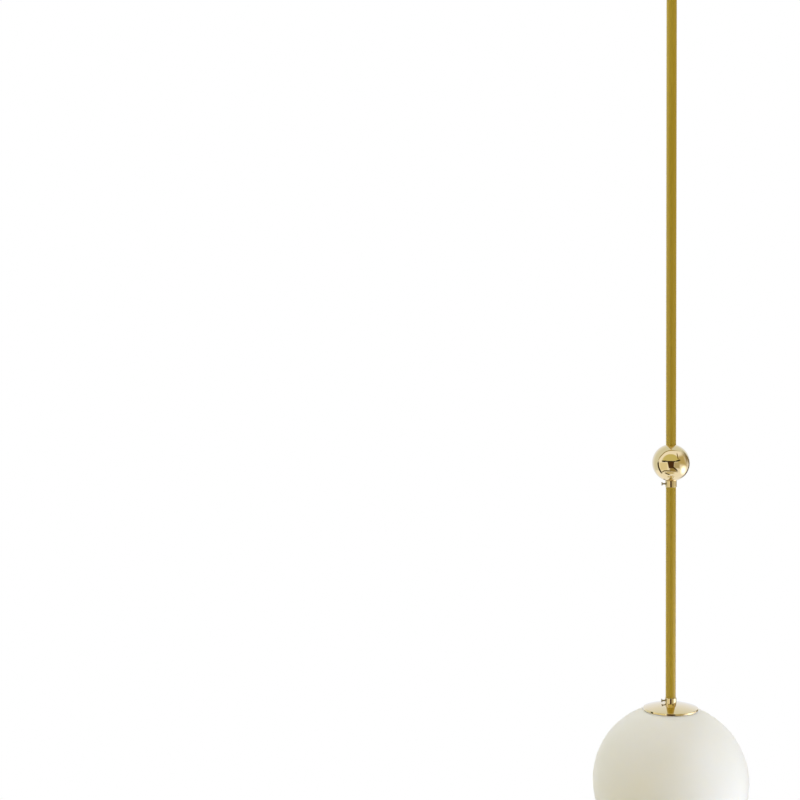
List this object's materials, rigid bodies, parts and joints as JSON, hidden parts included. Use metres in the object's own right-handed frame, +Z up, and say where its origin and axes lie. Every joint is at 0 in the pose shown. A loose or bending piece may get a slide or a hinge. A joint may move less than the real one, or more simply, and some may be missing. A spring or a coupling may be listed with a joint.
{
  "type": "pendant ceiling light",
  "caption": "Rigid-stem pendant ceiling light: brass rods joined in a polished ball, domed cap and opal glass globe, with ceiling cup, bracket, spring gallery, lampholder and bulb.",
  "frame": {"origin": "centre of the ceiling face, midway between the two slots of the ceiling bracket", "axes": "+Z up towards the ceiling, along the stem; +X along the bracket's strap"},
  "size_m": [0.2, 0.2, 1.2],
  "materials": {
    "polished_brass": "mirror polished and lacquered",
    "satin_brass": "fine satin, lacquered",
    "plain_brass": "as machined",
    "nickel_steel": "nickel plated",
    "zinc_steel": "zinc plated",
    "spring_steel": "bright rolled",
    "opal_glass": "opal white, smooth",
    "clear_silicone": "soft matte",
    "white_plastic": "moulded matte",
    "black_plastic": "moulded matte",
    "white_ceramic": "fired, unglazed",
    "bulb_plastic": "moulded matte",
    "bulb_opal": "satin opal",
    "bulb_cap_metal": "nickel plated",
    "bulb_contact_metal": "solder",
    "brown_insulation": "smooth insulation",
    "blue_insulation": "smooth insulation"
  },
  "bodies": {
    "stem": {"ceiling_bracket": "zinc_steel", "bracket_nipple": "plain_brass", "bracket_nut": "zinc_steel", "bracket_washer": "zinc_steel", "nipple_bush": "white_plastic", "terminal_block": "white_plastic", "terminal_clamps": "plain_brass", "terminal_screws": "zinc_steel", "block_screw": "zinc_steel", "earth_screw": "plain_brass", "upper_rod": "satin_brass", "ball": "polished_brass", "ball_nipple": "plain_brass", "ball_collar": "polished_brass", "live_wire": "brown_insulation", "neutral_wire": "blue_insulation"},
    "lower_stem": {"lower_rod": "satin_brass"},
    "globe_head": {"cap_collar": "polished_brass", "cap_nipple": "plain_brass", "globe_cap": "polished_brass", "glass_gasket": "clear_silicone", "gallery_plate": "zinc_steel", "spring_arms": "spring_steel", "gallery_rivets": "zinc_steel", "gallery_nut": "zinc_steel", "holder_cap": "black_plastic", "holder_body": "black_plastic", "holder_insert": "white_ceramic", "holder_shell": "plain_brass", "holder_contact": "plain_brass"},
    "canopy_cup": {"canopy": "polished_brass", "canopy_collar": "polished_brass"},
    "canopy_screw": {"canopy_lock_screw": "nickel_steel"},
    "ball_screw": {"ball_lock_screw": "nickel_steel"},
    "cap_screw": {"cap_lock_screw": "nickel_steel"},
    "globe": {"glass_globe": "opal_glass"},
    "bulb": {"bulb_tip": "bulb_contact_metal", "bulb_screw_cap": "bulb_cap_metal", "bulb_base": "bulb_plastic", "bulb_diffuser": "bulb_opal"}
  },
  "joints": [
    {"name": "canopy_slide", "type": "slide", "parent": "stem", "child": "canopy_cup", "axis": [0, 0, -1], "range_m": [0, 0.6]},
    {"name": "canopy_screw_turn", "type": "hinge", "parent": "canopy_cup", "child": "canopy_screw", "pos_m": [-0.012, 0, -0.045], "axis": [-1, 0, 0], "range_deg": [0, 1080]},
    {"name": "ball_screw_turn", "type": "hinge", "parent": "stem", "child": "ball_screw", "pos_m": [-0.009, 0, -0.71298], "axis": [-1, 0, 0], "range_deg": [0, 1080]},
    {"name": "lower_rod_turn", "type": "hinge", "parent": "stem", "child": "lower_stem", "pos_m": [0, 0, -0.71698], "axis": [0, 0, 1], "range_deg": [-180, 180], "deforming": ["live_wire", "neutral_wire"]},
    {"name": "head_turn", "type": "hinge", "parent": "lower_stem", "child": "globe_head", "pos_m": [0, 0, -0.99018], "axis": [0, 0, 1], "range_deg": [-180, 180], "deforming": ["live_wire", "neutral_wire"]},
    {"name": "cap_screw_turn", "type": "hinge", "parent": "globe_head", "child": "cap_screw", "pos_m": [-0.009, 0, -0.99418], "axis": [-1, 0, 0], "range_deg": [0, 1080]},
    {"name": "globe_release", "type": "slide", "parent": "globe_head", "child": "globe", "axis": [0, 0, -1], "range_m": [0, 0.15], "deforming": ["spring_arms"]},
    {"name": "bulb_turn", "type": "hinge", "parent": "globe_head", "child": "bulb", "pos_m": [0, 0, -1.06], "axis": [0, 0, 1], "range_deg": [0, 1260]}
  ]
}
